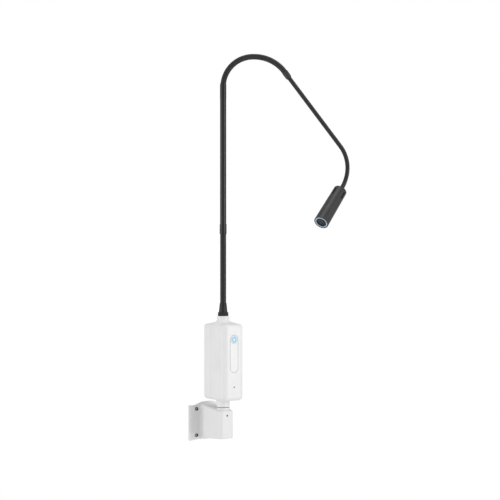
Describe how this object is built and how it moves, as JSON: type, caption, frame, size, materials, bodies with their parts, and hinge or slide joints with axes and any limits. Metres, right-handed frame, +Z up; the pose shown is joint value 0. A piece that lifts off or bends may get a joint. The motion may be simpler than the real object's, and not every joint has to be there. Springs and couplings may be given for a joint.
{
  "type": "wall-mounted examination lamp",
  "caption": "White wall bracket with a swivelling upright housing, a long black gooseneck arm that arches over and a slim tubular black light head with a blue-ringed lens.",
  "frame": {"origin": "centre of the bracket's flat back face, on the wall plane", "axes": "+Z up, +Y into the wall, +X to the right for someone facing the lamp's front"},
  "size_m": [0.3254, 0.3014, 0.9911],
  "materials": {
    "white_powder_coat": "satin",
    "black_nylon": "matte",
    "natural_nylon": "matte",
    "black_oxide_steel": "satin",
    "bright_steel": "satin",
    "white_abs": "satin",
    "strip_film": "satin",
    "sensor_film": "gloss",
    "circuit_board": "satin",
    "component_body": "matte",
    "inlet_moulding": "matte",
    "lead_insulation": "matte",
    "black_rubber": "matte",
    "black_sleeve": "satin",
    "spring_steel": "satin",
    "black_coated_steel": "satin",
    "black_anodised": "satin",
    "bare_aluminium": "satin",
    "led_phosphor": "gloss",
    "clear_acrylic": "gloss",
    "blue_light_guide": "gloss"
  },
  "bodies": {
    "wall_bracket": {"bracket_casting": "white_powder_coat", "wall_bushes": "black_nylon", "socket_liner": "natural_nylon", "bracket_set_screw": "black_oxide_steel", "swivel_washer": "black_nylon"},
    "housing": {"post_tube": "bright_steel", "post_collar": "white_abs", "post_nut": "bright_steel", "housing_front": "white_abs", "housing_back": "white_abs", "sensor_window": "strip_film", "sensor_disc": "sensor_film", "sensor_board": "circuit_board", "driver_board": "circuit_board", "driver_parts": "component_body", "power_inlet": "inlet_moulding", "cover_screws": "bright_steel", "front_screw": "black_oxide_steel", "wiring_loom": "lead_insulation", "neck_fitting": "black_coated_steel", "neck_nut": "bright_steel", "neck_boot": "black_rubber", "lower_sleeve_1": "black_sleeve", "lower_core_1": "spring_steel"},
    "lower_link": {"lower_sleeve_2": "black_sleeve", "lower_core_2": "spring_steel"},
    "riser": {"lower_sleeve_3": "black_sleeve", "lower_core_3": "spring_steel", "lower_ferrule": "black_coated_steel", "mid_tube": "black_coated_steel", "arm_cable": "lead_insulation", "upper_ferrule": "black_coated_steel", "upper_sleeve_1": "black_sleeve", "upper_core_1": "spring_steel"},
    "crest_link_1": {"upper_sleeve_2": "black_sleeve", "upper_core_2": "spring_steel"},
    "crest_link_2": {"upper_sleeve_3": "black_sleeve", "upper_core_3": "spring_steel"},
    "slope": {"upper_sleeve_4": "black_sleeve", "upper_core_4": "spring_steel", "neck_adapter": "black_anodised", "thin_sleeve_1": "black_sleeve"},
    "thin_link_1": {"thin_sleeve_2": "black_sleeve"},
    "thin_link_2": {"thin_sleeve_3": "black_sleeve"},
    "thin_link_3": {"thin_sleeve_4": "black_sleeve"},
    "thin_link_4": {"thin_sleeve_5": "black_sleeve"},
    "head": {"thin_sleeve_6": "black_sleeve", "head_gland": "black_anodised", "head_rear_cap": "black_anodised", "head_seal": "black_rubber", "head_barrel": "black_anodised", "heat_sink": "bare_aluminium", "led_board": "circuit_board", "led_emitter": "led_phosphor", "collimator_lens": "clear_acrylic", "lens_holder": "black_anodised", "light_ring": "blue_light_guide", "front_window": "clear_acrylic", "head_lead": "lead_insulation", "board_screws": "black_oxide_steel"}
  },
  "joints": [
    {"name": "housing_swivel", "type": "hinge", "parent": "wall_bracket", "child": "housing", "pos_m": [0, -0.078, 0.0686], "axis": [0, 0, 1], "range_deg": [-170, 170]},
    {"name": "lower_bend_side", "type": "hinge", "parent": "housing", "child": "lower_link", "pos_m": [0, -0.078, 0.35757], "axis": [0.5592, 0.829, 0], "range_deg": [-35, 35]},
    {"name": "lower_bend_fore", "type": "hinge", "parent": "lower_link", "child": "riser", "pos_m": [0, -0.078, 0.44572], "axis": [-0.829, 0.5592, 0], "range_deg": [-35, 35]},
    {"name": "upper_bend_1", "type": "hinge", "parent": "riser", "child": "crest_link_1", "pos_m": [0.00937, -0.08432, 0.90497], "axis": [0.5592, 0.829, 0], "range_deg": [-45, 10]},
    {"name": "upper_bend_2", "type": "hinge", "parent": "crest_link_1", "child": "crest_link_2", "pos_m": [0.05529, -0.11529, 0.94069], "axis": [-0.1044, 0.0704, 0.992], "range_deg": [-35, 35]},
    {"name": "upper_bend_3", "type": "hinge", "parent": "crest_link_2", "child": "slope", "pos_m": [0.10927, -0.1517, 0.92579], "axis": [0.5592, 0.829, 0], "range_deg": [-45, 15]},
    {"name": "thin_bend_1", "type": "hinge", "parent": "slope", "child": "thin_link_1", "pos_m": [0.15678, -0.18375, 0.85929], "axis": [0.5592, 0.829, 0], "range_deg": [-30, 35]},
    {"name": "thin_bend_2", "type": "hinge", "parent": "thin_link_1", "child": "thin_link_2", "pos_m": [0.19082, -0.20671, 0.80454], "axis": [0.6632, -0.4474, 0.6], "range_deg": [-35, 35]},
    {"name": "thin_bend_3", "type": "hinge", "parent": "thin_link_2", "child": "thin_link_3", "pos_m": [0.22486, -0.22967, 0.7498], "axis": [-0.5592, -0.829, 0], "range_deg": [-35, 30]},
    {"name": "thin_bend_4", "type": "hinge", "parent": "thin_link_3", "child": "thin_link_4", "pos_m": [0.25689, -0.25127, 0.69353], "axis": [-0.7654, 0.5162, -0.3843], "range_deg": [-35, 35]},
    {"name": "thin_bend_5", "type": "hinge", "parent": "thin_link_4", "child": "head", "pos_m": [0.25788, -0.25287, 0.62669], "axis": [-0.4979, 0.838, 0.2235], "range_deg": [-30, 35]}
  ]
}
